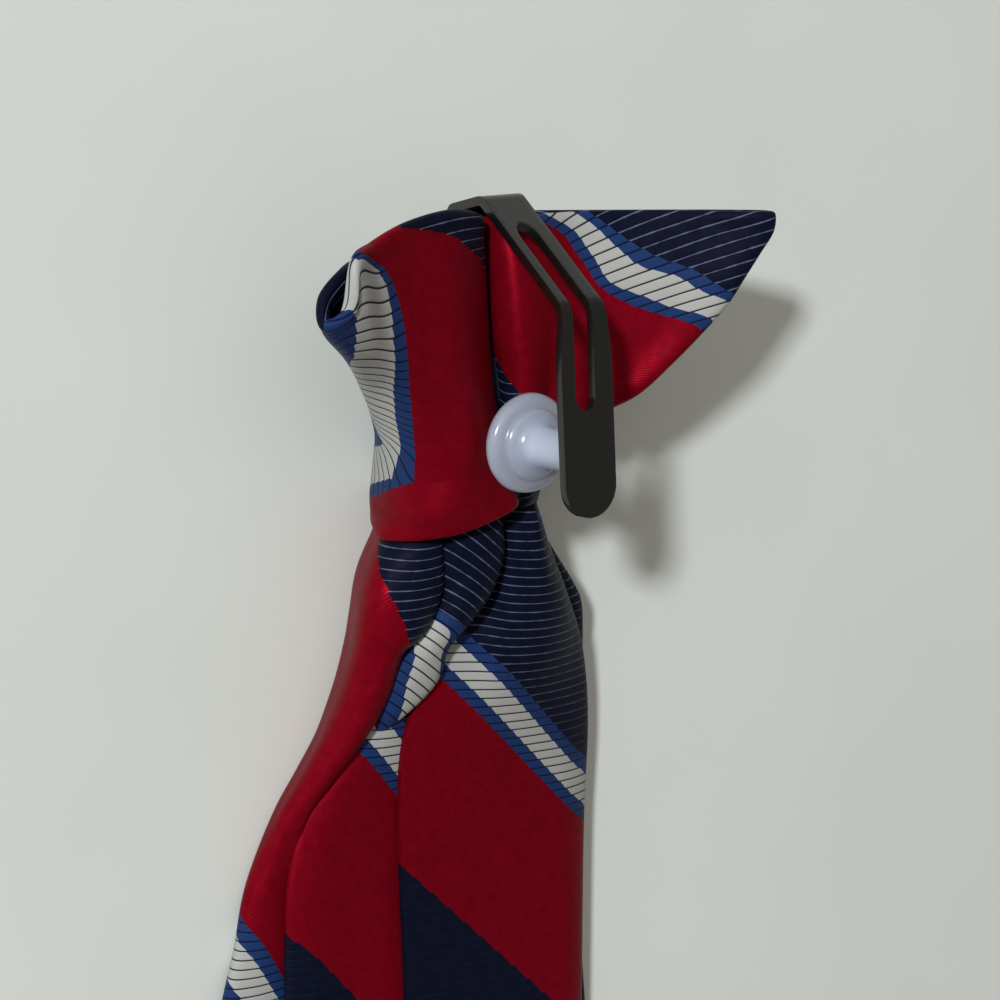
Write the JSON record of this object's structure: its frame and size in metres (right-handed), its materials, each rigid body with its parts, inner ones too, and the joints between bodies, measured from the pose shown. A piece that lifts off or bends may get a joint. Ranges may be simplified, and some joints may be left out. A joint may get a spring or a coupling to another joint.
{
  "type": "clip on tie",
  "caption": "Pre-tied school-size necktie with a knot sleeve, a blade and a tail, hooked on by a bent spring clip that carries a collar stud.",
  "frame": {"origin": "middle of the footprint, on the surface that the tie lies on", "axes": "+X across the tie, +Y along it towards the knot, +Z out of its back, where the clip is"},
  "size_m": [0.072, 0.406, 0.0345],
  "materials": {
    "tie_cloth": "woven satin and rib stripes in dark red, navy, blue and white",
    "core": "dark, hidden in the knot",
    "clip_metal": "black satin coat",
    "stud_plastic": "milky and slightly see-through"
  },
  "bodies": {
    "root": {"knot_wrap": "tie_cloth", "knot_core": "core", "clip": "clip_metal", "clip_stud": "stud_plastic", "blade": "tie_cloth", "tail": "tie_cloth"}
  },
  "joints": []
}
